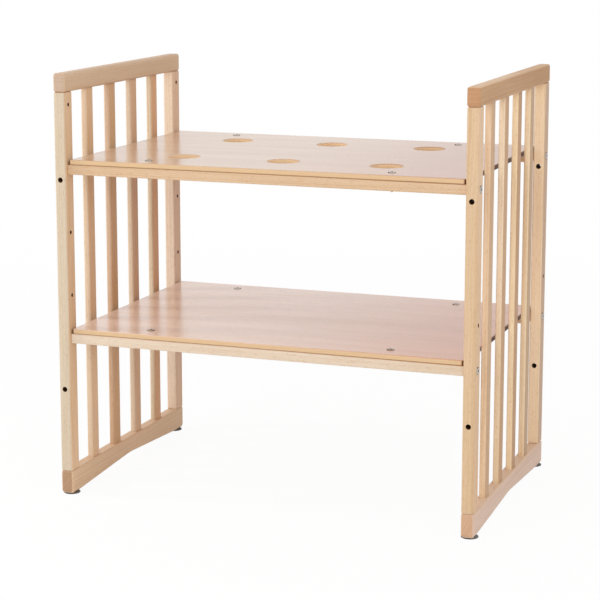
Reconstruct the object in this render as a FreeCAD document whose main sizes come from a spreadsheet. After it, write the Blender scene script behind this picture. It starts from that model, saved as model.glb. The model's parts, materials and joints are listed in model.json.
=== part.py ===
import FreeCAD, Part
import math
import os
import re
import Sketcher

# Small crib in its shelf form: two slatted end panels carry two boards on long rails.
# Millimetres. X runs along the boards, Y from front to rear, Z up from the floor.
# The origin lies on the floor, under the middle of the footprint.

SIZES = {
    # End panels
    "overall_width": 988,
    "overall_depth": 644,
    "post_thick": 27,
    "post_depth": 40,
    "post_length": 880,
    "rail_overhang": 1,
    "top_rail_height": 43,
    "bottom_rail_height": 55,
    "arch_rise": 15,
    "arch_margin": 40,
    "arch_crown_radius": 400,
    "top_rail_round": 6,
    "rail_foot_round": 10,
    "rail_lower_round": 6,
    "rail_upper_round": 5,
    "post_round": 4,
    "post_end_round": 2.5,
    "slat_thick": 15,
    "slat_width": 36,
    "slat_round": 5,
    "tenon_length": 12,
    "tenon_clearance": 0.1,
    # Glued dowels between the posts and the end rails
    "dowel_radius": 4,
    "dowel_length": 40,
    "dowel_spacing": 20,
    "dowel_chamfer": 0.8,
    "dowel_clearance": 0.05,
    "dowel_end_room": 1,
    # Holes in the posts that the other forms of the crib use
    "cross_hole_radius": 6,
    "cross_hole_low": 253,
    "cross_hole_high": 740,
    "spare_hole_radius": 4.5,
    "spare_hole_depth": 16,
    "spare_hole_low": 472,
    "spare_hole_middle": 618,
    "spare_hole_high": 910,
    # Shelves: boards on long rails
    "upper_seat_height": 774,
    "lower_seat_height": 383,
    "board_thick": 12,
    "board_setback": 10,
    "board_end_gap": 3,
    "board_corner_round": 6,
    "board_edge_round": 2,
    "vent_radius": 36,
    "vent_rim_round": 5,
    "vent_spacing_x": 244,
    "vent_spacing_y": 332,
    "shelf_rail_width": 58,
    "shelf_rail_height": 22,
    "shelf_rail_round": 2,
    # Bolts, nuts and washers
    "bolt_radius": 3,
    "bolt_clearance": 0.25,
    "thread_clearance": 0.05,
    "head_radius": 8.75,
    "head_thick": 2,
    "head_round": 0.8,
    "socket_width": 4,
    "socket_depth": 3,
    "connector_drop": 10,
    "connector_end_room": 6,
    "barrel_radius": 5,
    "barrel_length": 14,
    "barrel_clearance": 0.1,
    "barrel_inset": 22,
    "barrel_end_room": 1,
    "rail_dowel_offset": 14,
    "rail_dowel_length": 30,
    "rail_dowel_in_post": 12,
    "board_bolt_spacing_x": 574,
    "board_bolt_inset": 47.5,
    "board_bolt_end": 2,
    "washer_radius": 8,
    "washer_thick": 1.5,
    "nut_width": 10,
    "nut_thick": 5,
    # Levelling feet
    "foot_inset": 26,
    "foot_stop_gap": 0.3,
    "pad_radius": 19.5,
    "pad_thick": 3,
    "pad_edge": 0.6,
    "pad_floor": 1,
    "stem_radius": 4,
    "stem_reach": 24,
    "stem_clearance": 0.05,
    "stem_end_room": 2,
    "sleeve_radius": 6,
    "sleeve_length": 18,
    "sleeve_flange_radius": 9,
    "sleeve_flange_thick": 1.2,
    "sleeve_clearance": 0.1,
}

SLAT_COUNT = 4
HEX_SIDES = 6
HALF_TURN = 180

doc = FreeCAD.newDocument("crib_shelf")
sheet = doc.addObject("Spreadsheet::Sheet", "Sizes")
for row, (alias, size) in enumerate(SIZES.items(), start=1):
    sheet.set(f"A{row}", alias)
    sheet.set(f"B{row}", str(size))
    sheet.setAlias(f"B{row}", alias)
doc.recompute()

# Lengths and places that follow from the sizes
PANEL_DEPTH = "overall_depth"
SLAT_GAP = f"((overall_depth - 2 * post_depth - {SLAT_COUNT} * slat_width) / {SLAT_COUNT + 1})"
FOOT_LIFT = "(pad_thick + foot_stop_gap)"
POST_BASE = f"({FOOT_LIFT} + bottom_rail_height)"
POST_TOP = f"({POST_BASE} + post_length)"
SLAT_PITCH = f"(slat_width + {SLAT_GAP})"
SLAT_FIRST = f"(post_depth + {SLAT_GAP})"
SLAT_INSET = "((post_thick - slat_thick) / 2)"
RAIL_THICK = "(post_thick + 2 * rail_overhang)"
SHELF_SPAN = "(overall_width - 2 * post_thick)"
BOARD_LENGTH = f"({SHELF_SPAN} - 2 * board_end_gap)"
BOARD_WIDTH = f"({PANEL_DEPTH} - 2 * board_setback)"
BOLT_HOLE = "(bolt_radius + bolt_clearance)"
DOWEL_HOLE = "(dowel_radius + dowel_clearance)"
DOWEL_DEPTH = "(dowel_length / 2 + dowel_end_room)"
DOWEL_FRONT = "((post_depth - dowel_spacing) / 2)"
DOWEL_BACK = "((post_depth + dowel_spacing) / 2)"
SHELF_SEATS = {"upper": "upper_seat_height", "lower": "lower_seat_height"}
SIDES = {"left": -1, "right": 1}
ENDS = {"front": -1, "rear": 1}

nodes = []


def sized(text):
    """An expression in which each size points at its cell of the sheet."""
    for alias in SIZES:
        text = re.sub(rf"\b{alias}\b", f"{sheet.Name}.{alias}", text)
    return text


def bind(thing, **places):
    for name, text in places.items():
        thing.setExpression(name.replace("__", "."), sized(text))


def place(thing, x, y, z, axis=(0, 0, 1), turn=0):
    rotation = FreeCAD.Rotation(FreeCAD.Vector(*axis), turn)
    thing.Placement = FreeCAD.Placement(FreeCAD.Vector(0, 0, 0), rotation)
    bind(thing, Placement__Base__x=x, Placement__Base__y=y, Placement__Base__z=z)


def new_body(label):
    body = doc.addObject("PartDesign::Body", label)
    body.Label = label
    return body


def origin_part(body, role):
    return next(feature for feature in body.Origin.OriginFeatures if feature.Role == role)


def new_sketch(body, name, plane, offset=None):
    sketch = body.newObject("Sketcher::SketchObject", name)
    sketch.AttachmentSupport = [(origin_part(body, plane), "")]
    sketch.MapMode = "FlatFace"
    if offset is not None:
        bind(sketch, AttachmentOffset__Base__z=offset)
    return sketch


def measure(sketch, kind, *where, text):
    """A dimension of the sketch that follows an expression of sizes."""
    index = sketch.addConstraint(Sketcher.Constraint(kind, *where, 1.0))
    name = f"{kind}_{index}"
    sketch.renameConstraint(index, name)
    sketch.setExpression(f"Constraints.{name}", sized(text))


def draw_rectangle(sketch, width, height, left=None, low=None):
    corners = [(0, 0), (1, 0), (1, 1), (0, 1)]
    points = [FreeCAD.Vector(across, up, 0) for across, up in corners]
    lines = []
    for start, end in zip(points, points[1:] + points[:1]):
        lines.append(sketch.addGeometry(Part.LineSegment(start, end), False))
    for line, following in zip(lines, lines[1:] + lines[:1]):
        sketch.addConstraint(Sketcher.Constraint("Coincident", line, 2, following, 1))
    for line in lines[0::2]:
        sketch.addConstraint(Sketcher.Constraint("Horizontal", line))
    for line in lines[1::2]:
        sketch.addConstraint(Sketcher.Constraint("Vertical", line))
    measure(sketch, "DistanceX", lines[0], 1, lines[0], 2, text=width)
    measure(sketch, "DistanceY", lines[1], 1, lines[1], 2, text=height)
    if left is None:
        sketch.addConstraint(Sketcher.Constraint("Coincident", lines[0], 1, -1, 1))
    else:
        measure(sketch, "DistanceX", -1, 1, lines[0], 1, text=left)
        measure(sketch, "DistanceY", -1, 1, lines[0], 1, text=low)


def draw_circle(sketch, radius, across=None, up=None):
    middle = FreeCAD.Vector(1, 1, 0)
    ring = sketch.addGeometry(Part.Circle(middle, FreeCAD.Vector(0, 0, 1), 1.0), False)
    measure(sketch, "Radius", ring, text=radius)
    if across is None:
        sketch.addConstraint(Sketcher.Constraint("Coincident", ring, 3, -1, 1))
    else:
        measure(sketch, "DistanceX", -1, 1, ring, 3, text=across)
        measure(sketch, "DistanceY", -1, 1, ring, 3, text=up)


def pad(body, sketch, length):
    solid = body.newObject("PartDesign::Pad", f"{sketch.Name}_pad")
    solid.Profile = sketch
    bind(solid, Length=length)
    doc.recompute()
    return solid


def cut(body, sketch, depth, backwards=False):
    """Cuts the sketch out of the body, against the sketch's normal unless backwards is set."""
    before = body.Shape.Volume
    pocket = body.newObject("PartDesign::Pocket", f"{sketch.Name}_cut")
    pocket.Profile = sketch
    pocket.Reversed = backwards
    bind(pocket, Length=depth)
    doc.recompute()
    if not body.Shape.Volume < before:
        raise ValueError(f"{body.Label}: {sketch.Name} cuts nothing")
    return pocket


def round_edges(body, name, radius, chosen):
    """Rounds the edges of the body whose middle and direction the test accepts."""
    base = body.Tip
    names = []
    for number, edge in enumerate(base.Shape.Edges, start=1):
        middle = edge.valueAt((edge.FirstParameter + edge.LastParameter) / 2)
        run = edge.Vertexes[-1].Point - edge.Vertexes[0].Point
        if chosen(middle, run, base.Shape.BoundBox):
            names.append(f"Edge{number}")
    fillet = body.newObject("PartDesign::Fillet", name)
    fillet.Base = (base, names)
    bind(fillet, Radius=radius)
    doc.recompute()


def near(one, other):
    return abs(one - other) < 1e-6


def along_z(middle, run, box):
    return near(run.x, 0) and near(run.y, 0)


def along_x(middle, run, box):
    return near(run.y, 0) and near(run.z, 0)


def at_end(middle, run, box):
    return near(middle.z, box.ZMin) or near(middle.z, box.ZMax)


def closed_rim(middle, run, box):
    return near(run.Length, 0) and at_end(middle, run, box)


def every_edge(middle, run, box):
    return True


def keep(thing):
    nodes.append(thing)


def group(label, copies):
    """One node of separate like solids."""
    bundle = doc.addObject("Part::Compound", label)
    bundle.Label = label
    bundle.Links = copies
    keep(bundle)


def copy_of(body, name, x, y, z, axis=(0, 0, 1), turn=0):
    twin = doc.addObject("App::Link", name)
    twin.LinkedObject = body
    place(twin, x, y, z, axis, turn)
    return twin


# The end panels' pieces lie with local X from the outer face inwards and local Y along the panel.
# The right panel is the left one turned half round.
def place_in_panel(thing, side, x, y, z):
    if side == "left":
        place(thing, f"{x} - overall_width / 2", f"{y} - {PANEL_DEPTH} / 2", z)
    else:
        place(thing, f"overall_width / 2 - {x}", f"{PANEL_DEPTH} / 2 - {y}", z, turn=HALF_TURN)


def panel_dowel_spots():
    """Where the glued dowels stand along an end rail."""
    spots = [DOWEL_FRONT, DOWEL_BACK]
    spots += [f"({PANEL_DEPTH} - {spot})" for spot in (DOWEL_FRONT, DOWEL_BACK)]
    return spots


def drill_dowels(body, spots, height, backwards):
    sketch = new_sketch(body, "dowel_holes", "XY_Plane", height)
    for spot in spots:
        draw_circle(sketch, DOWEL_HOLE, f"{RAIL_THICK} / 2", spot)
    cut(body, sketch, DOWEL_DEPTH, backwards)


def cut_mortises(body, height, backwards):
    sketch = new_sketch(body, "mortise", "XY_Plane", height)
    draw_rectangle(
        sketch,
        "slat_thick + 2 * tenon_clearance",
        "slat_width + 2 * tenon_clearance",
        f"rail_overhang + {SLAT_INSET} - tenon_clearance",
        f"{SLAT_FIRST} - tenon_clearance",
    )
    first = cut(body, sketch, "tenon_length + tenon_clearance", backwards)
    row = body.newObject("PartDesign::LinearPattern", "mortise_row")
    row.Originals = [first]
    row.Direction = (origin_part(body, "Y_Axis"), [""])
    row.Occurrences = SLAT_COUNT
    bind(row, Length=f"{SLAT_COUNT - 1} * {SLAT_PITCH}")
    body.Tip = row
    doc.recompute()

    def mortise_corner(middle, run, box):
        between = sheet.post_depth < middle.y < sheet.overall_depth - sheet.post_depth
        return between and along_z(middle, run, box)

    round_edges(body, "mortise_corners", "slat_round + tenon_clearance", mortise_corner)


def draw_arch(sketch):
    """The hollow under an end rail: two flanks, tangent to the arc of the crown, over a straight base."""
    crown = sheet.arch_crown_radius
    middle = sheet.overall_depth / 2
    spread = crown * sheet.arch_rise / middle
    upright = math.pi / 2
    tilt = spread / crown
    low_left = FreeCAD.Vector(sheet.arch_margin, 0, 0)
    low_right = FreeCAD.Vector(2 * middle - sheet.arch_margin, 0, 0)
    high_left = FreeCAD.Vector(middle - spread, sheet.arch_rise, 0)
    high_right = FreeCAD.Vector(middle + spread, sheet.arch_rise, 0)
    centre = FreeCAD.Vector(middle, sheet.arch_rise - crown, 0)
    circle = Part.Circle(centre, FreeCAD.Vector(0, 0, 1), crown)
    left = sketch.addGeometry(Part.LineSegment(low_left, high_left), False)
    right = sketch.addGeometry(Part.LineSegment(high_right, low_right), False)
    base = sketch.addGeometry(Part.LineSegment(low_right, low_left), False)
    arc = sketch.addGeometry(Part.ArcOfCircle(circle, upright - tilt, upright + tilt), False)
    sketch.addConstraint(Sketcher.Constraint("Coincident", right, 2, base, 1))
    sketch.addConstraint(Sketcher.Constraint("Coincident", base, 2, left, 1))
    sketch.addConstraint(Sketcher.Constraint("Tangent", left, 2, arc, 2))
    sketch.addConstraint(Sketcher.Constraint("Tangent", right, 1, arc, 1))
    sketch.addConstraint(Sketcher.Constraint("PointOnObject", left, 1, -1))
    sketch.addConstraint(Sketcher.Constraint("PointOnObject", right, 2, -1))
    measure(sketch, "Radius", arc, text="arch_crown_radius")
    measure(sketch, "DistanceX", -1, 1, left, 1, text="arch_margin")
    measure(sketch, "DistanceX", -1, 1, right, 2, text=f"{PANEL_DEPTH} - arch_margin")
    measure(sketch, "DistanceX", -1, 1, arc, 3, text=f"{PANEL_DEPTH} / 2")
    measure(sketch, "DistanceY", arc, 3, -1, 1, text="arch_crown_radius - arch_rise")


def make_top_rail(side):
    body = new_body(f"{side}_top_rail")
    sketch = new_sketch(body, "section", "XY_Plane")
    draw_rectangle(sketch, RAIL_THICK, PANEL_DEPTH)
    pad(body, sketch, "top_rail_height")
    round_edges(body, "soft_edges", "top_rail_round", every_edge)
    cut_mortises(body, "0", True)
    drill_dowels(body, panel_dowel_spots(), "0", True)
    place_in_panel(body, side, "-rail_overhang", "0", POST_TOP)
    keep(body)


def make_bottom_rail(side):
    body = new_body(f"{side}_bottom_rail")
    sketch = new_sketch(body, "section", "XY_Plane")
    draw_rectangle(sketch, RAIL_THICK, PANEL_DEPTH)
    pad(body, sketch, "bottom_rail_height")

    def lower_corner(middle, run, box):
        return along_x(middle, run, box) and near(middle.z, box.ZMin)

    round_edges(body, "lower_corners", "rail_foot_round", lower_corner)

    # The underside rises in two straight flanks from the toes under the posts to a rounded crown
    arch = new_sketch(body, "arch", "YZ_Plane", RAIL_THICK)
    draw_arch(arch)
    cut(body, arch, RAIL_THICK)

    def lower_outline(middle, run, box):
        on_face = near(middle.x, box.XMin) or near(middle.x, box.XMax)
        return on_face and not near(middle.z, box.ZMax)

    round_edges(body, "lower_edges", "rail_lower_round", lower_outline)

    def upper_rim(middle, run, box):
        return near(middle.z, box.ZMax)

    round_edges(body, "soft_edges", "rail_upper_round", upper_rim)
    cut_mortises(body, "bottom_rail_height", False)
    drill_dowels(body, panel_dowel_spots(), "bottom_rail_height", False)

    # Stepped bores for the sleeve nuts of the feet, open at the underside
    bores = {
        "flange_seat": ("sleeve_flange_radius + sleeve_clearance", "sleeve_flange_thick"),
        "sleeve_bore": ("sleeve_radius + sleeve_clearance", "sleeve_length"),
        "stem_room": ("stem_radius + sleeve_clearance", "stem_reach + stem_end_room"),
    }
    for name, (radius, depth) in bores.items():
        bore = new_sketch(body, name, "XY_Plane")
        for spot in ("foot_inset", f"({PANEL_DEPTH} - foot_inset)"):
            draw_circle(bore, radius, f"{RAIL_THICK} / 2", spot)
        cut(body, bore, depth, True)
    place_in_panel(body, side, "-rail_overhang", "0", FOOT_LIFT)
    keep(body)


def make_post(side, end):
    body = new_body(f"{side}_{end}_post")
    sketch = new_sketch(body, "section", "XY_Plane")
    draw_rectangle(sketch, "post_thick", "post_depth")
    pad(body, sketch, "post_length")
    round_edges(body, "soft_edges", "post_round", along_z)
    round_edges(body, "soft_ends", "post_end_round", at_end)
    for name, height, backwards in (("low", "0", True), ("high", "post_length", False)):
        sketch = new_sketch(body, f"{name}_dowel_holes", "XY_Plane", height)
        for spot in (DOWEL_FRONT, DOWEL_BACK):
            draw_circle(sketch, DOWEL_HOLE, "post_thick / 2", spot)
        cut(body, sketch, DOWEL_DEPTH, backwards)

    # Bolt holes and open spare holes go through along X
    through = new_sketch(body, "through_holes", "YZ_Plane", "post_thick")
    for seat in SHELF_SEATS.values():
        draw_circle(through, BOLT_HOLE, "post_depth / 2", f"{seat} - connector_drop - {POST_BASE}")
    draw_circle(through, "spare_hole_radius", "post_depth / 2", f"spare_hole_low - {POST_BASE}")
    cut(body, through, "post_thick")

    # Blind spare holes and the seats of the locating dowels open on the inner face
    blind = new_sketch(body, "blind_holes", "YZ_Plane", "post_thick")
    for height in ("spare_hole_middle", "spare_hole_high"):
        draw_circle(blind, "spare_hole_radius", "post_depth / 2", f"{height} - {POST_BASE}")
    cut(body, blind, "spare_hole_depth")
    starts_outside = (side == "left") == (end == "front")
    sign = "+" if starts_outside else "-"
    seats = new_sketch(body, "locating_holes", "YZ_Plane", "post_thick")
    for seat in SHELF_SEATS.values():
        spot = f"post_depth / 2 {sign} rail_dowel_offset"
        draw_circle(seats, DOWEL_HOLE, spot, f"{seat} - connector_drop - {POST_BASE}")
    cut(body, seats, "rail_dowel_in_post + dowel_end_room")

    # Cross holes go through along Y
    cross = new_sketch(body, "cross_holes", "XZ_Plane")
    for height in ("cross_hole_low", "cross_hole_high"):
        draw_circle(cross, "cross_hole_radius", "post_thick / 2", f"{height} - {POST_BASE}")
    cut(body, cross, "post_depth")
    near_corner = "0" if starts_outside else f"({PANEL_DEPTH} - post_depth)"
    place_in_panel(body, side, "0", near_corner, POST_BASE)
    keep(body)


def make_slats(side):
    for number in range(SLAT_COUNT):
        body = new_body(f"{side}_slat_{number + 1}")
        sketch = new_sketch(body, "section", "XY_Plane")
        draw_rectangle(sketch, "slat_thick", "slat_width")
        pad(body, sketch, "post_length + 2 * tenon_length")
        round_edges(body, "soft_edges", "slat_round", along_z)
        order = number if side == "left" else SLAT_COUNT - 1 - number
        along = f"({SLAT_FIRST} + {order} * {SLAT_PITCH})"
        place_in_panel(body, side, SLAT_INSET, along, f"{POST_BASE} - tenon_length")
        keep(body)


def make_plain_dowel(name, length, plane):
    body = new_body(name)
    sketch = new_sketch(body, "section", plane)
    draw_circle(sketch, "dowel_radius")
    rod = pad(body, sketch, length)
    rims = [f"Edge{number}" for number, edge in enumerate(rod.Shape.Edges, start=1) if edge.isClosed()]
    ends = body.newObject("PartDesign::Chamfer", "chamfered_ends")
    ends.Base = (rod, rims)
    bind(ends, Size="dowel_chamfer")
    doc.recompute()
    return body


def make_panel_dowels(dowel, side):
    copies = []
    for level, height in (("low", POST_BASE), ("high", POST_TOP)):
        for number, spot in enumerate(panel_dowel_spots(), start=1):
            twin = doc.addObject("App::Link", f"{side}_{level}_dowel_{number}")
            twin.LinkedObject = dowel
            place_in_panel(twin, side, "post_thick / 2", spot, f"{height} - dowel_length / 2")
            copies.append(twin)
    group(f"{side}_dowels", copies)


# Shelf rails lie with local X along their length and local Y from their outer face inwards.
# The rear rails are the front ones turned half round.
def make_shelf_rail(shelf, end):
    seat = SHELF_SEATS[shelf]
    body = new_body(f"{shelf}_{end}_rail")
    sketch = new_sketch(body, "section", "YZ_Plane")
    draw_rectangle(sketch, "shelf_rail_width", "shelf_rail_height")
    pad(body, sketch, SHELF_SPAN)
    round_edges(body, "soft_edges", "shelf_rail_round", every_edge)
    bolt_line = "(post_depth / 2 - board_setback)"
    bolt_height = "(shelf_rail_height - connector_drop)"
    dowel_line = f"({bolt_line} + rail_dowel_offset)"
    bolt_depth = "barrel_inset + barrel_radius + connector_end_room"
    dowel_depth = "rail_dowel_length - rail_dowel_in_post + dowel_end_room"
    for name, offset, backwards in (("left", "0", True), ("right", SHELF_SPAN, False)):
        bolts = new_sketch(body, f"{name}_bolt_hole", "YZ_Plane", offset)
        draw_circle(bolts, BOLT_HOLE, bolt_line, bolt_height)
        cut(body, bolts, bolt_depth, backwards)
        dowels = new_sketch(body, f"{name}_dowel_hole", "YZ_Plane", offset)
        draw_circle(dowels, DOWEL_HOLE, dowel_line, bolt_height)
        cut(body, dowels, dowel_depth, backwards)

    # The barrel nuts go in from below and stop just under the top
    barrels = new_sketch(body, "barrel_holes", "XY_Plane")
    for spot in ("barrel_inset", f"({SHELF_SPAN} - barrel_inset)"):
        draw_circle(barrels, "barrel_radius + barrel_clearance", spot, bolt_line)
    cut(body, barrels, f"{bolt_height} + barrel_length / 2 + barrel_end_room", True)
    boards = new_sketch(body, "board_bolt_holes", "XY_Plane")
    for sign in "+-":
        spot = f"({SHELF_SPAN} {sign} board_bolt_spacing_x) / 2"
        draw_circle(boards, BOLT_HOLE, spot, "board_bolt_inset")
    cut(body, boards, "shelf_rail_height", True)
    height = f"{seat} - shelf_rail_height"
    if end == "front":
        place(body, f"-{SHELF_SPAN} / 2", f"board_setback - {PANEL_DEPTH} / 2", height)
    else:
        place(body, f"{SHELF_SPAN} / 2", f"{PANEL_DEPTH} / 2 - board_setback", height, turn=HALF_TURN)
    keep(body)


def make_board(shelf):
    body = new_body(f"{shelf}_board")
    sketch = new_sketch(body, "outline", "XY_Plane")
    draw_rectangle(sketch, BOARD_LENGTH, BOARD_WIDTH)
    pad(body, sketch, "board_thick")
    round_edges(body, "corners", "board_corner_round", along_z)
    round_edges(body, "soft_rims", "board_edge_round", at_end)
    if shelf == "upper":
        vents = new_sketch(body, "vents", "XY_Plane")
        for step in ("- vent_spacing_x", "", "+ vent_spacing_x"):
            for deep in "+-":
                spot = f"({BOARD_WIDTH} {deep} vent_spacing_y) / 2"
                draw_circle(vents, "vent_radius", f"{BOARD_LENGTH} / 2 {step}", spot)
        cut(body, vents, "board_thick", True)
        round_edges(body, "vent_rims", "vent_rim_round", closed_rim)
    holes = new_sketch(body, "bolt_holes", "XY_Plane")
    for along in "+-":
        across = f"({BOARD_LENGTH} {along} board_bolt_spacing_x) / 2"
        for deep in ("board_bolt_inset", f"({BOARD_WIDTH} - board_bolt_inset)"):
            draw_circle(holes, BOLT_HOLE, across, deep)
    cut(body, holes, "board_thick", True)
    place(body, f"-{BOARD_LENGTH} / 2", f"-{BOARD_WIDTH} / 2", SHELF_SEATS[shelf])
    keep(body)


# Bolts stand with their seat at the local origin, head up and shank down.
def make_bolt(name, length):
    body = new_body(name)
    head = new_sketch(body, "head", "XY_Plane")
    draw_circle(head, "head_radius")
    pad(body, head, "head_thick")

    def upper_rim(middle, run, box):
        return near(middle.z, box.ZMax)

    round_edges(body, "soft_rim", "head_round", upper_rim)
    shank = new_sketch(body, "shank", "XY_Plane")
    draw_circle(shank, "bolt_radius")
    rod = pad(body, shank, length)
    rod.Reversed = True
    doc.recompute()
    socket = new_sketch(body, "socket", "XY_Plane", "head_thick")
    draw_hexagon(socket, "socket_width")
    cut(body, socket, "socket_depth")
    return body


def draw_hexagon(sketch, width):
    """A regular hexagon about the origin, measured across its flats."""
    flat = [FreeCAD.Vector(1, 0, 0)]
    turn = FreeCAD.Rotation(FreeCAD.Vector(0, 0, 1), 360 / HEX_SIDES)
    for _ in range(HEX_SIDES - 1):
        flat.append(turn.multVec(flat[-1]))
    circle = sketch.addGeometry(Part.Circle(FreeCAD.Vector(0, 0, 0), FreeCAD.Vector(0, 0, 1), 1.0), True)
    sketch.addConstraint(Sketcher.Constraint("Coincident", circle, 3, -1, 1))
    lines = []
    for start, end in zip(flat, flat[1:] + flat[:1]):
        lines.append(sketch.addGeometry(Part.LineSegment(start, end), False))
    for line, following in zip(lines, lines[1:] + lines[:1]):
        sketch.addConstraint(Sketcher.Constraint("Coincident", line, 2, following, 1))
        sketch.addConstraint(Sketcher.Constraint("PointOnObject", line, 2, circle))
    for line, following in zip(lines, lines[1:]):
        sketch.addConstraint(Sketcher.Constraint("Equal", line, following))
    sketch.addConstraint(Sketcher.Constraint("PointOnObject", lines[0], 1, -1))
    measure(sketch, "Radius", circle, text=f"{width} / sqrt(3)")


def make_connectors(shelf, bolt, barrel, dowel):
    """The bolts, barrel nuts and locating dowels that hold a shelf's rails to the posts."""
    height = f"({SHELF_SEATS[shelf]} - connector_drop)"
    bolts = []
    barrels = []
    dowels = []
    for side, way in SIDES.items():
        for end, depth_way in ENDS.items():
            name = f"{shelf}_{side}_{end}"
            line = f"{depth_way} * ({PANEL_DEPTH} - post_depth) / 2"
            outer = f"{way} * overall_width / 2"
            bolts.append(copy_of(bolt, f"{name}_bolt", outer, line, height, (0, 1, 0), way * 90))
            inset = f"{way} * ({SHELF_SPAN} / 2 - barrel_inset)"
            barrels.append(copy_of(barrel, f"{name}_barrel", inset, line, height))
            dowel_line = f"{line} - {depth_way} * rail_dowel_offset"
            reach = "rail_dowel_in_post" if way < 0 else "(rail_dowel_length - rail_dowel_in_post)"
            start = f"{way} * {SHELF_SPAN} / 2 - {reach}"
            dowels.append(copy_of(dowel, f"{name}_dowel", start, dowel_line, height))
    group(f"{shelf}_connector_bolts", bolts)
    group(f"{shelf}_barrel_nuts", barrels)
    group(f"{shelf}_rail_dowels", dowels)


def make_board_fixings(shelf, bolt, washer, nut):
    """The bolts through a board and its rails, each with a washer and a nut below."""
    seat = SHELF_SEATS[shelf]
    heights = {
        "bolt": f"{seat} + board_thick",
        "washer": f"{seat} - shelf_rail_height - washer_thick",
        "nut": f"{seat} - shelf_rail_height - washer_thick - nut_thick",
    }
    for kind, model in (("bolt", bolt), ("washer", washer), ("nut", nut)):
        copies = []
        for side, way in SIDES.items():
            for end, depth_way in ENDS.items():
                across = f"{way} * board_bolt_spacing_x / 2"
                deep = f"{depth_way} * ({BOARD_WIDTH} / 2 - board_bolt_inset)"
                name = f"{shelf}_{side}_{end}_board_{kind}"
                copies.append(copy_of(model, name, across, deep, heights[kind]))
        group(f"{shelf}_board_{kind}s", copies)


def make_barrel_nut():
    body = new_body("barrel_nut")
    sketch = new_sketch(body, "section", "XY_Plane", "-barrel_length / 2")
    draw_circle(sketch, "barrel_radius")
    pad(body, sketch, "barrel_length")
    hole = new_sketch(body, "cross_hole", "YZ_Plane", "barrel_radius")
    draw_circle(hole, "bolt_radius + thread_clearance")
    cut(body, hole, "2 * barrel_radius")
    return body


def make_washer():
    body = new_body("washer")
    sketch = new_sketch(body, "ring", "XY_Plane")
    draw_circle(sketch, "washer_radius")
    draw_circle(sketch, BOLT_HOLE)
    pad(body, sketch, "washer_thick")
    return body


def make_nut():
    body = new_body("hex_nut")
    sketch = new_sketch(body, "section", "XY_Plane")
    draw_hexagon(sketch, "nut_width")
    draw_circle(sketch, "bolt_radius + thread_clearance")
    pad(body, sketch, "nut_thick")
    return body


def revolve(body, corners):
    """Turns an outline, given as pairs of radius and height, about the local Z axis."""
    sketch = new_sketch(body, "profile", "XZ_Plane")
    count = len(corners)
    lines = []
    for number in range(count):
        start = FreeCAD.Vector(1 + number % 2, number, 0)
        following = (number + 1) % count
        end = FreeCAD.Vector(1 + following % 2, following, 0)
        lines.append(sketch.addGeometry(Part.LineSegment(start, end), False))
    for line, following in zip(lines, lines[1:] + lines[:1]):
        sketch.addConstraint(Sketcher.Constraint("Coincident", line, 2, following, 1))
    for line, (radius, height) in zip(lines, corners):
        if radius == "0":
            sketch.addConstraint(Sketcher.Constraint("PointOnObject", line, 1, -2))
        else:
            measure(sketch, "DistanceX", -1, 1, line, 1, text=radius)
        if height == "0":
            sketch.addConstraint(Sketcher.Constraint("PointOnObject", line, 1, -1))
        else:
            measure(sketch, "DistanceY", -1, 1, line, 1, text=height)
    turned = body.newObject("PartDesign::Revolution", "turned")
    turned.Profile = sketch
    turned.ReferenceAxis = (sketch, ["V_Axis"])
    turned.Angle = 360
    doc.recompute()


def make_sleeve():
    body = new_body("sleeve_nut")
    bore = "stem_radius + stem_clearance"
    corners = (
        (bore, "0"),
        ("sleeve_flange_radius", "0"),
        ("sleeve_flange_radius", "sleeve_flange_thick"),
        ("sleeve_radius", "sleeve_flange_thick"),
        ("sleeve_radius", "sleeve_length"),
        (bore, "sleeve_length"),
    )
    revolve(body, corners)
    return body


def make_foot(side, end):
    """A levelling foot: a stem in the sleeve nut and a pad that swivels on the stem's lower end."""
    x = f"{SIDES[side]} * (overall_width - post_thick) / 2"
    y = f"{ENDS[end]} * ({PANEL_DEPTH} / 2 - foot_inset)"
    stem = new_body(f"{side}_{end}_stem")
    section = new_sketch(stem, "section", "XY_Plane")
    draw_circle(section, "stem_radius")
    pad(stem, section, f"{FOOT_LIFT} + stem_reach - pad_floor - stem_clearance")
    place(stem, x, y, "pad_floor + stem_clearance")
    keep(stem)
    foot = new_body(f"{side}_{end}_pad")
    bore = "stem_radius + stem_clearance"
    corners = (
        ("0", "0"),
        ("pad_radius - pad_edge", "0"),
        ("pad_radius", "pad_edge"),
        ("pad_radius", "pad_thick - pad_edge"),
        ("pad_radius - pad_edge", "pad_thick"),
        (bore, "pad_thick"),
        (bore, "pad_floor"),
        ("0", "pad_floor"),
    )
    revolve(foot, corners)
    place(foot, x, y, "0")
    keep(foot)


post_dowel = make_plain_dowel("post_dowel", "dowel_length", "XY_Plane")
for side in SIDES:
    make_top_rail(side)
    make_bottom_rail(side)
    make_post(side, "front")
    make_post(side, "rear")
    make_slats(side)
    make_panel_dowels(post_dowel, side)

connector_length = "post_thick + barrel_inset + barrel_radius + connector_end_room / 2"
connector_bolt = make_bolt("connector_bolt", connector_length)
barrel_nut = make_barrel_nut()
rail_dowel = make_plain_dowel("rail_dowel", "rail_dowel_length", "YZ_Plane")
through_length = "board_thick + shelf_rail_height + washer_thick + nut_thick + board_bolt_end"
board_bolt = make_bolt("board_bolt", through_length)
board_washer = make_washer()
board_nut = make_nut()
for shelf in SHELF_SEATS:
    make_board(shelf)
    make_shelf_rail(shelf, "front")
    make_shelf_rail(shelf, "rear")
    make_connectors(shelf, connector_bolt, barrel_nut, rail_dowel)
    make_board_fixings(shelf, board_bolt, board_washer, board_nut)

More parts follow.
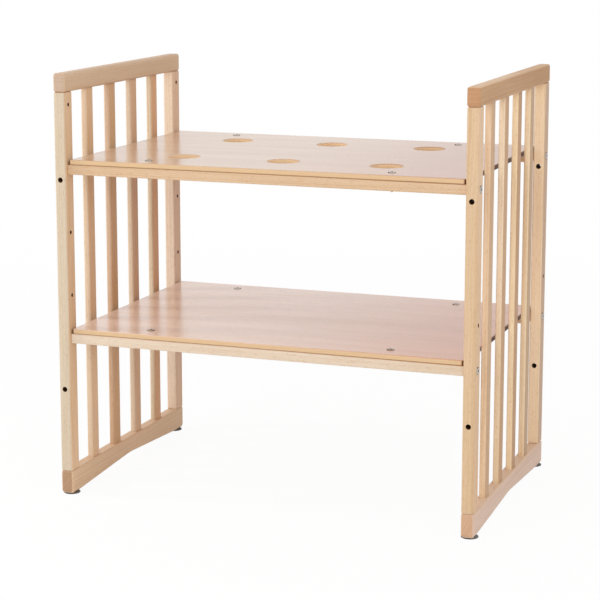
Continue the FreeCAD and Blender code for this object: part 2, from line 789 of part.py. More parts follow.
sleeve_nut = make_sleeve()
sleeves = []
for side in SIDES:
    for end in ENDS:
        make_foot(side, end)
        x = f"{SIDES[side]} * (overall_width - post_thick) / 2"
        y = f"{ENDS[end]} * ({PANEL_DEPTH} / 2 - foot_inset)"
        sleeves.append(copy_of(sleeve_nut, f"{side}_{end}_sleeve", x, y, FOOT_LIFT))
group("foot_sleeves", sleeves)

doc.recompute()
for thing in doc.Objects:
    if "Invalid" in thing.State or "Error" in thing.State:
        raise ValueError(f"{thing.Label}: {thing.State}")
for node in nodes:
    if node.Shape.isNull() or not node.Shape.isValid():
        raise ValueError(f"{node.Label}: no valid shape")

os.makedirs("parts", exist_ok=True)
for node in nodes:
    node.Shape.exportStep(f"parts/{node.Label}.step")
print(len(nodes), "nodes,", sum(len(node.Shape.Solids) for node in nodes), "solids")
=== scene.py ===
import bpy
import json
import math
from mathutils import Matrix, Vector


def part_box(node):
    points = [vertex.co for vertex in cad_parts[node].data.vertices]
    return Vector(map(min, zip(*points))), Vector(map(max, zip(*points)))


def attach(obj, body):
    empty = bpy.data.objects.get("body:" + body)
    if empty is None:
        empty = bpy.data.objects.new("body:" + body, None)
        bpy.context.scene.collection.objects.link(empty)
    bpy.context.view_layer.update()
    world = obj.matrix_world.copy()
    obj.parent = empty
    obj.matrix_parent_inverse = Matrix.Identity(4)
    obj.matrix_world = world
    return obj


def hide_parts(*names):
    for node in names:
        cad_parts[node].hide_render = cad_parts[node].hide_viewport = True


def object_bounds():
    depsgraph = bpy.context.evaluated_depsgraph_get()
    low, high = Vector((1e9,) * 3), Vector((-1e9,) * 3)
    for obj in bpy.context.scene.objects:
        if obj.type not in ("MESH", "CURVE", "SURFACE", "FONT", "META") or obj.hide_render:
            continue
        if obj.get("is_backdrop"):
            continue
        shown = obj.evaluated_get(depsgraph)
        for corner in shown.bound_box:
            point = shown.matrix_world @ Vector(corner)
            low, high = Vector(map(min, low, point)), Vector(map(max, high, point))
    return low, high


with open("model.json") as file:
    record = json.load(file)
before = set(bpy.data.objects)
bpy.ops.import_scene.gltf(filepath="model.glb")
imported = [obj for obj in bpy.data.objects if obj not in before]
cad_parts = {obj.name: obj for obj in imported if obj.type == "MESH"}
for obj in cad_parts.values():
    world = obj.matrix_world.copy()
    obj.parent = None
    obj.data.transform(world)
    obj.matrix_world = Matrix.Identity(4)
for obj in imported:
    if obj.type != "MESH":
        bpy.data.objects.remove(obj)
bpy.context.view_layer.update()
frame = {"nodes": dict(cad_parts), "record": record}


# Front and rear posts of the two end panels.
# Oblong beech bars with softened edges, planed, sanded and clear lacquered.
# They stand between the end rails on glued dowels; the grain runs upwards.
def shown(red, green, blue):
    """A screen colour of 0 to 255 as the linear colour that a shader takes."""
    linear = []
    for part in (red, green, blue):
        share = part / 255
        linear.append(share / 12.92 if share <= 0.04045 else ((share + 0.055) / 1.055) ** 2.4)
    return (*linear, 1.0)


def wire(tree, source, output, target, socket):
    tree.links.new(source.outputs[output], target.inputs[socket])


def add_math(tree, operation, first, second, third=None):
    """A Math node; each operand is a number, or a node with the name of its output."""
    node = tree.nodes.new("ShaderNodeMath")
    node.operation = operation
    for slot, value in enumerate((first, second, third)):
        if isinstance(value, tuple):
            wire(tree, value[0], value[1], node, slot)
        elif value is not None:
            node.inputs[slot].default_value = value
    return (node, "Value")


def add_noise(tree, vector, scale, detail, roughness=0.5):
    """Noise over a vector that is stretched by a scale for each axis, in cycles per metre."""
    stretch = tree.nodes.new("ShaderNodeVectorMath")
    stretch.operation = "MULTIPLY"
    stretch.inputs[1].default_value = scale
    wire(tree, vector[0], vector[1], stretch, 0)
    noise = tree.nodes.new("ShaderNodeTexNoise")
    noise.inputs["Scale"].default_value = 1.0
    noise.inputs["Detail"].default_value = detail
    noise.inputs["Roughness"].default_value = roughness
    wire(tree, stretch, "Vector", noise, "Vector")
    return (noise, "Fac")


def add_step(tree, value, low, high):
    """A smooth step of a value from 0 at low to 1 at high."""
    node = tree.nodes.new("ShaderNodeMapRange")
    node.interpolation_type = "SMOOTHSTEP"
    node.inputs["From Min"].default_value = low
    node.inputs["From Max"].default_value = high
    wire(tree, value[0], value[1], node, "Value")
    return (node, "Result")


def add_blend(tree, share, first, second):
    """A colour between two colours; each is a node with the name of its output."""
    node = tree.nodes.new("ShaderNodeMix")
    node.data_type = "RGBA"
    wire(tree, share[0], share[1], node, 0)
    wire(tree, first[0], first[1], node, 6)
    wire(tree, second[0], second[1], node, 7)
    return (node, 2)


def add_tint(tree, share, base, tint):
    """A colour multiplied by a fixed tint, by a share.
    The share and the base colour are nodes with the names of their outputs."""
    node = tree.nodes.new("ShaderNodeMix")
    node.data_type = "RGBA"
    node.blend_type = "MULTIPLY"
    node.inputs[7].default_value = (*tint, 1.0)
    wire(tree, share[0], share[1], node, 0)
    wire(tree, base[0], base[1], node, 6)
    return (node, 2)


def new_group(name, inputs, outputs):
    """An empty shader group with named sockets; returns its tree, its input node and its output node."""
    tree = bpy.data.node_groups.new(name, "ShaderNodeTree")
    for socket, kind in inputs:
        tree.interface.new_socket(socket, in_out="INPUT", socket_type=kind)
    for socket, kind in outputs:
        tree.interface.new_socket(socket, in_out="OUTPUT", socket_type=kind)
    return tree, tree.nodes.new("NodeGroupInput"), tree.nodes.new("NodeGroupOutput")


def split_axes(tree, node, output):
    """The three parts of a vector as a node with the outputs X, Y and Z."""
    split = tree.nodes.new("ShaderNodeSeparateXYZ")
    wire(tree, node, output, split, "Vector")
    return split


# Scales are in cycles per metre, twice across the grain and once along it
DRIFT_SCALE = (5.0, 5.0, 1.3)
BROAD_SCALE = (16.0, 16.0, 1.8)
FIBRE_SCALE = (520.0, 520.0, 8.0)
FLECK_SCALE = (700.0, 700.0, 130.0)
PORE_SCALE = (1300.0, 1300.0, 60.0)
RING_SCALE = 330.0
RING_DRIFT_X = 0.03
RING_DRIFT_Y = -0.02
RING_STEP = (0.35, 0.70)
QUARTERED_LIGHTING_STEP = (0.30, 0.80)
FLECK_STEP = (0.61, 0.73)
FIGURE_STEP = (0.42, 1.05)
END_STEP = (0.55, 0.95)
PORE_STEP = (0.50, 0.70)
RING_WEIGHT = 0.20
FIBRE_WEIGHT = 0.45
BROAD_WEIGHT = 0.70
FLECK_WEIGHT = 0.55
END_RING_WEIGHT = 0.50
PORE_WEIGHT = 0.30
FIGURE_TINT = (0.84, 0.75, 0.63)
FLECK_TINT = (0.72, 0.58, 0.44)
END_TINT = (0.78, 0.66, 0.54)
LACQUER_ROUGHNESS = 0.38
FIBRE_ROUGHNESS = 0.14
END_ROUGHNESS = 0.12
FLECK_HEIGHT = -0.5


def build_beech_grain():
    """Beech: faint rings about a pith, fine fibres, short ray flecks, and pores on the end grain.
    Quartered faces and plain-sawn faces each have a colour, which holds the wood's own difference and
    painted light and shade of each face."""
    tree, start, end = new_group(
        "beech_grain",
        (
            ("Place", "NodeSocketVector"),
            ("Facing", "NodeSocketVector"),
            ("Quartered And Lighting", "NodeSocketColor"),
            ("Plain And Lighting", "NodeSocketColor"),
            ("End", "NodeSocketColor"),
            ("Figure", "NodeSocketFloat"),
        ),
        (("Color", "NodeSocketColor"), ("Roughness", "NodeSocketFloat"), ("Height", "NodeSocketFloat")),
    )
    place = (start, "Place")

    # Rings: distance from the pith line, bent a little along the grain
    drift = add_noise(tree, place, DRIFT_SCALE, detail=2.0)
    spot = split_axes(tree, start, "Place")
    bent_x = add_math(tree, "MULTIPLY_ADD", drift, RING_DRIFT_X, (spot, "X"))
    bent_y = add_math(tree, "MULTIPLY_ADD", drift, RING_DRIFT_Y, (spot, "Y"))
    square_x = add_math(tree, "MULTIPLY", bent_x, bent_x)
    square_both = add_math(tree, "MULTIPLY_ADD", bent_y, bent_y, square_x)
    radius = add_math(tree, "SQRT", square_both, 0.0)
    ring_place = add_math(tree, "MULTIPLY", radius, RING_SCALE)
    rings = tree.nodes.new("ShaderNodeTexNoise")
    rings.noise_dimensions = "1D"
    rings.inputs["Scale"].default_value = 1.0
    rings.inputs["Detail"].default_value = 3.0
    wire(tree, ring_place[0], ring_place[1], rings, "W")
    ring_share = add_step(tree, (rings, "Fac"), *RING_STEP)

    # Faces: broad drifts of tone, rings, fibres, and flecks like short dashes
    facing = split_axes(tree, start, "Facing")
    # Faces that look along Y take one tone and the others another: the wood's cut with painted light and
    # shade
    quartered_and_lighting = add_step(tree, add_math(tree, "ABSOLUTE", (facing, "Y"), 0.0), *QUARTERED_LIGHTING_STEP)
    face = add_blend(tree, quartered_and_lighting, (start, "Plain And Lighting"), (start, "Quartered And Lighting"))
    fibres = add_noise(tree, place, FIBRE_SCALE, detail=4.0, roughness=0.65)
    broad = add_noise(tree, place, BROAD_SCALE, detail=2.0)
    flecks = add_step(tree, add_noise(tree, place, FLECK_SCALE, detail=1.0), *FLECK_STEP)
    tone = add_math(tree, "MULTIPLY", ring_share, RING_WEIGHT)
    tone = add_math(tree, "MULTIPLY_ADD", fibres, FIBRE_WEIGHT, tone)
    tone = add_math(tree, "MULTIPLY_ADD", broad, BROAD_WEIGHT, tone)
    tone = add_math(tree, "MULTIPLY", add_step(tree, tone, *FIGURE_STEP), (start, "Figure"))
    face = add_tint(tree, tone, face, FIGURE_TINT)
    face = add_tint(tree, add_math(tree, "MULTIPLY", flecks, FLECK_WEIGHT), face, FLECK_TINT)

    # End grain soaks up more lacquer and shows rings and pores
    across = add_math(tree, "ABSOLUTE", (facing, "Z"), 0.0)
    end_share = add_step(tree, across, *END_STEP)
    pores = add_step(tree, add_noise(tree, place, PORE_SCALE, detail=1.0), *PORE_STEP)
    end_tone = add_math(tree, "MULTIPLY", ring_share, END_RING_WEIGHT)
    end_tone = add_math(tree, "MULTIPLY_ADD", pores, PORE_WEIGHT, end_tone)
    end_face = add_tint(tree, end_tone, (start, "End"), END_TINT)
    whole = add_blend(tree, end_share, face, end_face)
    wire(tree, whole[0], whole[1], end, "Color")

    rough = add_math(tree, "MULTIPLY_ADD", fibres, FIBRE_ROUGHNESS, LACQUER_ROUGHNESS)
    rough = add_math(tree, "MULTIPLY_ADD", end_share, END_ROUGHNESS, rough)
    wire(tree, rough[0], rough[1], end, "Roughness")
    height = add_math(tree, "MULTIPLY_ADD", flecks, FLECK_HEIGHT, fibres)
    wire(tree, height[0], height[1], end, "Height")
    return tree


beech_grain = build_beech_grain()
BUMP_STRENGTH = 0.35
GRAIN_RELIEF = 0.0002
LACQUER_SPECULAR = 0.16
GRAIN_TURN = {"x": (0.0, -math.pi / 2, 0.0), "y": (math.pi / 2, 0.0, 0.0), "z": (0.0, 0.0, 0.0)}


def new_finish(name):
    finish = bpy.data.materials.new(name)
    finish.use_nodes = True
    tree = finish.node_tree
    return finish, tree, tree.nodes["Principled BSDF"]


def raise_surface(tree, shader, height, distance):
    bump = tree.nodes.new("ShaderNodeBump")
    bump.inputs["Strength"].default_value = BUMP_STRENGTH
    bump.inputs["Distance"].default_value = distance
    wire(tree, height[0], height[1], bump, "Height")
    wire(tree, bump, "Normal", shader, "Normal")


def add_grain(tree, along, pith, quartered_and_lighting, plain_and_lighting, end, figure=1.0):
    """A grain group in a material, turned so that the grain runs along one axis."""
    group = tree.nodes.new("ShaderNodeGroup")
    group.node_tree = beech_grain
    group.inputs["Quartered And Lighting"].default_value = quartered_and_lighting
    group.inputs["Plain And Lighting"].default_value = plain_and_lighting
    group.inputs["End"].default_value = end
    group.inputs["Figure"].default_value = figure
    spot = tree.nodes.new("ShaderNodeTexCoord")
    turned = tree.nodes.new("ShaderNodeMapping")
    turned.inputs["Rotation"].default_value = GRAIN_TURN[along]
    turned.inputs["Location"].default_value = pith
    wire(tree, spot, "Object", turned, "Vector")
    wire(tree, turned, "Vector", group, "Place")
    facing = tree.nodes.new("ShaderNodeMapping")
    facing.inputs["Rotation"].default_value = GRAIN_TURN[along]
    wire(tree, spot, "Normal", facing, "Vector")
    wire(tree, facing, "Vector", group, "Facing")
    return group


def lacquered_beech(name, along, pith, quartered_and_lighting, plain_and_lighting, end, figure=1.0):
    """Solid beech under a thin clear lacquer; returns the material, its tree, its shader and its grain."""
    finish, tree, shader = new_finish(name)
    group = add_grain(tree, along, pith, shown(*quartered_and_lighting), shown(*plain_and_lighting), shown(*end), figure)
    wire(tree, group, "Color", shader, "Base Color")
    wire(tree, group, "Roughness", shader, "Roughness")
    raise_surface(tree, shader, (group, "Height"), GRAIN_RELIEF)
    shader.inputs["Specular IOR Level"].default_value = LACQUER_SPECULAR
    return finish, tree, shader, group


def dress(node, finish):
    """Gives a CAD node its finish in the slots of its object."""
    piece = frame["nodes"][node]
    if not piece.material_slots:
        piece.data.materials.append(finish)
    for slot in piece.material_slots:
        slot.material = finish


low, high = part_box("right_rear_post")
POST_MIDDLE_X = (low.x + high.x) / 2
POST_MIDDLE_Y = (low.y + high.y) / 2

# Radius of the holes, and their heights in a post
CROSS_HOLES = (0.006, (0.253, 0.740))
SIDE_HOLES = (0.0045, (0.472, 0.618, 0.910))
HOLE_MARGIN = 0.0004
WALL_STEP = (0.35, 0.70)
WALL_ROUGHNESS = 0.50
HOLE_SHADE_TINT = (0.14, 0.08, 0.04)


def build_drillings():
    """A mask of the bare walls inside the posts' round holes, which run along Y or along X."""
    tree, start, end = new_group(
        "post_drillings",
        (("Place", "NodeSocketVector"), ("Facing", "NodeSocketVector")),
        (("Wall", "NodeSocketFloat"),),
    )
    spot = split_axes(tree, start, "Place")
    facing = split_axes(tree, start, "Facing")
    walls = None
    for (radius, heights), line, middle, run in (
        (CROSS_HOLES, "X", POST_MIDDLE_X, "Y"),
        (SIDE_HOLES, "Y", POST_MIDDLE_Y, "X"),
    ):
        aside = add_math(tree, "SUBTRACT", add_math(tree, "ABSOLUTE", (spot, line), 0.0), middle)
        level = add_math(tree, "ABSOLUTE", (facing, run), 0.0)
        upright = add_math(tree, "SUBTRACT", 1.0, add_step(tree, level, *WALL_STEP))
        for height in heights:
            above = add_math(tree, "SUBTRACT", (spot, "Z"), height)
            square = add_math(tree, "MULTIPLY_ADD", above, above, add_math(tree, "MULTIPLY", aside, aside))
            inside = add_math(tree, "LESS_THAN", square, (radius + HOLE_MARGIN) ** 2)
            wall = add_math(tree, "MULTIPLY", inside, upright)
            walls = wall if walls is None else add_math(tree, "MAXIMUM", walls, wall)
    wire(tree, walls[0], walls[1], end, "Wall")
    return tree


post_drillings = build_drillings()


def drilled_beech(name, pith, quartered_and_lighting, plain_and_lighting, end):
    """Beech of a post: the walls of its holes are raw and rougher, and darkened as painted shade of the
    holes' inside.
    """
    finish, tree, shader, group = lacquered_beech(name, "z", pith, quartered_and_lighting, plain_and_lighting, end)
    drillings = tree.nodes.new("ShaderNodeGroup")
    drillings.node_tree = post_drillings
    spot = tree.nodes.new("ShaderNodeTexCoord")
    wire(tree, spot, "Object", drillings, "Place")
    wire(tree, spot, "Normal", drillings, "Facing")
    # Painted shade: the walls inside the holes are darkened
    hole_shade = add_tint(tree, (drillings, "Wall"), (group, "Color"), HOLE_SHADE_TINT)
    wire(tree, hole_shade[0], hole_shade[1], shader, "Base Color")
    dull = add_math(tree, "MULTIPLY_ADD", (drillings, "Wall"), WALL_ROUGHNESS, (group, "Roughness"))
    wire(tree, dull[0], dull[1], shader, "Roughness")
    return finish


POST_END = (206, 166, 128)

# Place of the pith, tone of the front and rear faces, tone of the side faces; each tone holds the wood's
# colour and painted light and shade
POSTS = {
    "left_front_post": ((0.09, 0.41, 0.3), (213, 197, 174), (228, 194, 158)),
    "left_rear_post": ((0.35, -0.21, 0.7), (237, 216, 195), (231, 197, 171)),
    "right_front_post": ((-0.55, 0.44, 0.1), (219, 190, 156), (230, 196, 161)),
    "right_rear_post": ((-0.38, -0.25, 0.5), (248, 223, 191), (204, 173, 147)),
}
for node, (pith, quartered_and_lighting, plain_and_lighting) in POSTS.items():
    dress(node, drilled_beech(f"beech_{node}", pith, quartered_and_lighting, plain_and_lighting, POST_END))


# Top and bottom rails of the end panels.
# Beech bars a little thicker than the posts, rounded on all edges, with mortises for the slats.
# The posts are dowelled to them; the grain runs from front to rear.

# Place of the pith, tones of the top, the sides and the ends, and strength of the figure; the tones of top
# and sides hold painted light and shade as well as the wood's colour
END_RAILS = {
    "left_top_rail": ((0.42, -0.86, 0.2), (214, 182, 154), (217, 187, 156), (201, 176, 155), 1.0),
    "right_top_rail": ((-0.55, -1.05, 0.6), (220, 186, 152), (197, 156, 114), (196, 151, 116), 1.9),
    "left_bottom_rail": ((0.56, 0.12, 0.4), (223, 193, 164), (227, 197, 164), (183, 149, 120), 1.2),
    "right_bottom_rail": ((-0.40, 0.09, 0.9), (224, 196, 171), (226, 197, 178), (213, 176, 145), 1.0),
}
for node, (pith, quartered_and_lighting, plain_and_lighting, end, figure) in END_RAILS.items():
    dress(node, lacquered_beech(f"beech_{node}", "y", pith, quartered_and_lighting, plain_and_lighting, end, figure)[0])


# Slats of the end panels.
# Thin upright beech bars with rounded edges, four in each panel.
# Their ends sit in mortises of the end rails; each one is cut from another piece of wood.

# Tone of the front and rear faces, and of the side faces, from the front slat to the rear one; each holds
# the wood's colour and painted light and shade
SLAT_TONES = {
    "left": (
        ((234, 209, 183), (230, 196, 160)),
        ((213, 182, 155), (215, 177, 137)),
        ((221, 198, 173), (220, 182, 149)),
        ((221, 200, 173), (224, 177, 138)),
    ),
    "right": (
        ((241, 211, 179), (210, 175, 141)),
        ((243, 221, 192), (203, 164, 127)),
        ((248, 224, 188), (195, 155, 119)),
        ((243, 219, 186), (197, 165, 131)),
    ),
}
SLAT_PITH = (0.42, 0.24, 0.0)
NEXT_PITH = (0.03, -0.13, 0.37)
for side, sign in (("left", 1), ("right", -1)):
    for number, (quartered_and_lighting, plain_and_lighting) in enumerate(SLAT_TONES[side], start=1):
        node = f"{side}_slat_{number}"
        pith = [first + step * number for first, step in zip(SLAT_PITH, NEXT_PITH)]
        pith[0] *= sign
        dress(node, lacquered_beech(f"beech_{node}", "z", pith, quartered_and_lighting, plain_and_lighting, POST_END)[0])


# Dowels that join the posts to the end rails, and those beside the bolts of the shelf rails.
# Plain turned beech with chamfered ends, hidden once the crib stands.
DOWEL_TONE = (220, 190, 156)
DOWEL_PITH = (0.1, 0.2, 0.3)
for node, along in (
    ("left_dowels", "z"),
    ("right_dowels", "z"),
    ("upper_rail_dowels", "x"),
    ("lower_rail_dowels", "x"),
):
    finish = lacquered_beech(f"beech_{node}", along, DOWEL_PITH, DOWEL_TONE, DOWEL_TONE, POST_END)[0]
    dress(node, finish)


# Shelf rails, two under each board.
# Flat beech bars that butt on the posts; the grain runs along them.
# The lower front one is of paler wood.

# Place of the pith, tone of the front and rear faces, tone of the top and the underside, each holding the
# wood's colour and painted light and shade
SHELF_RAILS = {
    "upper_front_rail": ((-0.70, 0.25, 0.3), (220, 190, 159), (221, 190, 156)),
    "upper_rear_rail": ((-0.85, -0.36, 0.8), (226, 196, 164), (222, 190, 156)),
    "lower_front_rail": ((-0.45, 0.38, 0.5), (226, 207, 186), (225, 201, 174)),
    "lower_rear_rail": ((-0.42, -0.22, 0.1), (226, 198, 168), (224, 192, 160)),
}
for node, (pith, quartered_and_lighting, plain_and_lighting) in SHELF_RAILS.items():
    dress(node, lacquered_beech(f"beech_{node}", "x", pith, quartered_and_lighting, plain_and_lighting, POST_END)[0])


# Shelf boards.
# Beech-faced plywood under a clear varnish that mirrors what stands near, with bare warm edges.
# They lie on the shelf rails; the upper one has six round vents.
def fixed_blend(tree, share, first, second):
    """A colour between two fixed colours; the share is a node with the name of its output."""
    node = tree.nodes.new("ShaderNodeMix")
    node.data_type = "RGBA"
    node.inputs[6].default_value = shown(*first)
    node.inputs[7].default_value = shown(*second)
    wire(tree, share[0], share[1], node, 0)
    return (node, 2)


RIGHT_END_SHADE = (-0.10, 0.50)
PLIES_PER_METRE = 333.0
GLUE_LINE = (0.30, 0.48)
GLUE_WEIGHT = 0.30
SPECK_SCALE = (300.0, 300.0, 900.0)
SPECK_WEIGHT = 0.25
FLAT_STEP = (0.45, 0.75)
SIDEWAYS_STEP = (0.15, 0.75)
BOARD_END = (0.40, 0.42)
SEAM_SHADE_HEIGHT = (0.0014, 0.0032)
END_SHADE_TINT = (0.20, 0.11, 0.06)
SEAM_SHADE_TINT = (0.50, 0.40, 0.30)
EDGE_ROUGHNESS = 0.50
FACE_ROUGHNESS = 0.22
SPECK_ROUGHNESS = 0.05
VARNISH_WEIGHT = 0.45
VARNISH_ROUGHNESS = 0.17
VENEER_RELIEF = 0.00006


def varnished_ply(name, pith, left_face, right_face, edge, glue, underside):
    """Plywood whose veneer tone darkens from the left end to a browner tone at the right end, a painted
    shade towards the right.
    """
    finish, tree, shader = new_finish(name)
    group = add_grain(tree, "x", pith, shown(*left_face), shown(*left_face), shown(*edge))
    spot = tree.nodes.new("ShaderNodeTexCoord")
    place = split_axes(tree, spot, "Object")
    facing = split_axes(tree, spot, "Normal")
    # Painted shade: the veneer darkens towards the right end of the board
    veneer_and_shade = fixed_blend(tree, add_step(tree, (place, "X"), *RIGHT_END_SHADE), left_face, right_face)
    wire(tree, veneer_and_shade[0], veneer_and_shade[1], group, "Quartered And Lighting")
    wire(tree, veneer_and_shade[0], veneer_and_shade[1], group, "Plain And Lighting")

    # The edges show the plies as thin bands one above the other
    layer = add_math(tree, "FRACT", add_math(tree, "MULTIPLY", (place, "Z"), PLIES_PER_METRE), 0.0)
    from_middle = add_math(tree, "ABSOLUTE", add_math(tree, "SUBTRACT", layer, 0.5), 0.0)
    speck = add_noise(tree, (spot, "Object"), SPECK_SCALE, detail=2.0)
    faint = add_math(tree, "MULTIPLY", speck, SPECK_WEIGHT)
    band = add_math(tree, "MULTIPLY_ADD", add_step(tree, from_middle, *GLUE_LINE), GLUE_WEIGHT, faint)
    plies = fixed_blend(tree, band, edge, glue)
    flat = add_step(tree, add_math(tree, "ABSOLUTE", (facing, "Z"), 0.0), *FLAT_STEP)

    # Painted shade: the board's ends beside the panels and its lowest ply, in the seam next to the rail,
    # are darkened
    sideways = add_step(tree, add_math(tree, "ABSOLUTE", (facing, "X"), 0.0), *SIDEWAYS_STEP)
    at_end = add_step(tree, add_math(tree, "ABSOLUTE", (place, "X"), 0.0), *BOARD_END)
    plies = add_tint(tree, add_math(tree, "MULTIPLY", sideways, at_end), plies, END_SHADE_TINT)
    above_rail = add_math(tree, "SUBTRACT", (place, "Z"), underside)
    # Painted shade in the seam where the board lies on the rail
    seam_shade = add_math(tree, "SUBTRACT", 1.0, add_step(tree, above_rail, *SEAM_SHADE_HEIGHT))
    plies = add_tint(tree, seam_shade, plies, SEAM_SHADE_TINT)
    whole = add_blend(tree, flat, plies, (group, "Color"))
    wire(tree, whole[0], whole[1], shader, "Base Color")
    rough = add_math(tree, "MULTIPLY_ADD", flat, FACE_ROUGHNESS - EDGE_ROUGHNESS, EDGE_ROUGHNESS)
    rough = add_math(tree, "MULTIPLY_ADD", speck, SPECK_ROUGHNESS, rough)
    wire(tree, rough[0], rough[1], shader, "Roughness")
    sealed = add_math(tree, "MULTIPLY", flat, VARNISH_WEIGHT)
    wire(tree, sealed[0], sealed[1], shader, "Coat Weight")
    shader.inputs["Coat Roughness"].default_value = VARNISH_ROUGHNESS
    raise_surface(tree, shader, (group, "Height"), VENEER_RELIEF)
    return finish


PLY_EDGE = (219, 186, 146)
PLY_GLUE = (208, 162, 114)

# Place of the pith, tone of the veneer at the left end, tone at the right end with its painted shade
BOARDS = {
    "upper_board": ((0.3, -0.9, 0.2), (211, 176, 147), (190, 128, 88)),
    "lower_board": ((0.3, -0.5, 0.7), (236, 207, 191), (209, 143, 100)),
}
for node, (pith, left_face, right_face) in BOARDS.items():
    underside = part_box(node)[0].z
    dress(node, varnished_ply(f"ply_{node}", pith, left_face, right_face, PLY_EDGE, PLY_GLUE, underside))


# Connector bolts.
# Turned steel with a bright plating: a low domed head with a hexagon socket, a shank and a screw thread.
# They go through the posts from outside and pull the shelf rails to them.
PLATING_SCALE = (900.0, 900.0, 900.0)
PLATING_STEP = (0.35, 0.65)
PLATING_ROUGHNESS = 0.20
PLATING_DULLING = 0.20
PLATING_RELIEF = 0.00004


def plated_steel(name, bright, dull):
    finish, tree, shader = new_finish(name)
    spot = tree.nodes.new("ShaderNodeTexCoord")
    cloud = add_noise(tree, (spot, "Object"), PLATING_SCALE, detail=3.0)
    tone = fixed_blend(tree, add_step(tree, cloud, *PLATING_STEP), bright, dull)
    wire(tree, tone[0], tone[1], shader, "Base Color")
    rough = add_math(tree, "MULTIPLY_ADD", cloud, PLATING_DULLING, PLATING_ROUGHNESS)
    wire(tree, rough[0], rough[1], shader, "Roughness")
    shader.inputs["Metallic"].default_value = 1.0
    raise_surface(tree, shader, cloud, PLATING_RELIEF)
    return finish


ROUND_SIDES = 36


def turn_piece(name, steps, sides=ROUND_SIDES):
    """A turned piece about the Z axis: each step is a radius and a height, from the bottom up."""
    radius, height = steps[0]
    bpy.ops.object.select_all(action="DESELECT")
    bpy.ops.mesh.primitive_circle_add(
        vertices=sides, radius=radius, fill_type="NGON", location=(0.0, 0.0, height)
    )
    bpy.ops.object.transform_apply(location=True, rotation=True, scale=True)
    piece = bpy.context.object
    piece.name = name
    bpy.ops.object.mode_set(mode="EDIT")
    bpy.ops.mesh.select_mode(type="FACE")
    bpy.ops.mesh.select_all(action="SELECT")
    for next_radius, next_height in steps[1:]:
        rise = (0.0, 0.0, next_height - height)
        bpy.ops.mesh.extrude_region_move(TRANSFORM_OT_translate={"value": rise})
        share = next_radius / radius
        bpy.ops.transform.resize(value=(share, share, 1.0), center_override=(0.0, 0.0, next_height))
        radius, height = next_radius, next_height
    bpy.ops.mesh.select_all(action="SELECT")
    bpy.ops.mesh.normals_make_consistent(inside=False)
    bpy.ops.object.mode_set(mode="OBJECT")
    return piece


HEXAGON = 6


def prism(width, low, high, sides=HEXAGON):
    """A straight prism on the Z axis, measured across its flats."""
    bpy.ops.object.select_all(action="DESELECT")
    reach = width / 2 / math.cos(math.pi / sides)
    middle = (0.0, 0.0, (low + high) / 2)
    bpy.ops.mesh.primitive_cylinder_add(vertices=sides, radius=reach, depth=high - low, location=middle)
    bpy.ops.object.transform_apply(location=True, rotation=True, scale=True)
    return bpy.context.object


def carve(piece, tool, operation="DIFFERENCE"):
    """Cuts a tool's shape out of a piece, or keeps only what both share, and takes the tool away."""
    bpy.ops.object.select_all(action="DESELECT")
    piece.select_set(True)
    bpy.context.view_layer.objects.active = piece
    cut = piece.modifiers.new("cut", "BOOLEAN")
    cut.operation = operation
    cut.solver = "EXACT"
    cut.object = tool
    bpy.ops.object.modifier_apply(modifier=cut.name)
    bpy.data.objects.remove(tool)


THREAD_STEPS = 24


def wind_thread(piece, root, crest, pitch, low, high):
    """Winds a three-cornered ridge round a rod as its screw thread and joins it to the rod."""
    bpy.ops.object.select_all(action="DESELECT")
    bpy.ops.mesh.primitive_circle_add(vertices=3, radius=pitch, fill_type="NOTHING")
    ridge = bpy.context.object
    corners = ((root, low), (crest, low + pitch / 2), (root, low + pitch))
    for vertex, (out, up) in zip(ridge.data.vertices, corners):
        vertex.co = (out, 0.0, up)
    winding = ridge.modifiers.new("winding", "SCREW")
    winding.screw_offset = pitch
    winding.iterations = int((high - low) / pitch) - 1
    winding.steps = THREAD_STEPS
    winding.render_steps = THREAD_STEPS
    bpy.ops.object.modifier_apply(modifier=winding.name)
    bpy.ops.object.mode_set(mode="EDIT")
    bpy.ops.mesh.select_all(action="SELECT")
    bpy.ops.mesh.fill_holes(sides=4)
    bpy.ops.mesh.normals_make_consistent(inside=False)
    bpy.ops.object.mode_set(mode="OBJECT")
    bpy.ops.object.select_all(action="DESELECT")
    ridge.select_set(True)
    piece.select_set(True)
    bpy.context.view_layer.objects.active = piece
    bpy.ops.object.join()


def body_of(node):
    """The moving or fixed body that a CAD node belongs to."""
    for body, members in frame["record"]["behaviour"]["bodies"].items():
        if node in members:
            return body


SMOOTH_ANGLE = math.radians(32.0)


def set_copies(model, node, spots):
    """Sets a copy of a model at each spot, joins them, and lets them stand for a CAD node."""
    copies = []
    for place, turn in spots:
        copy = model.copy()
        copy.data = model.data.copy()
        bpy.context.collection.objects.link(copy)
        copy.location = place
        copy.rotation_euler = turn
        copies.append(copy)
    bpy.ops.object.select_all(action="DESELECT")
    for copy in copies:
        copy.select_set(True)
    bpy.context.view_layer.objects.active = copies[0]
    bpy.ops.object.transform_apply(location=True, rotation=True, scale=True)
    if len(copies) > 1:
        bpy.ops.object.join()
    bpy.ops.object.shade_smooth_by_angle(angle=SMOOTH_ANGLE)
    piece = bpy.context.object
    piece.name = f"{node}_detail"
    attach(piece, body_of(node))
    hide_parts(node)


bright_steel = plated_steel("bright_plated_steel", (196, 190, 182), (176, 171, 164))
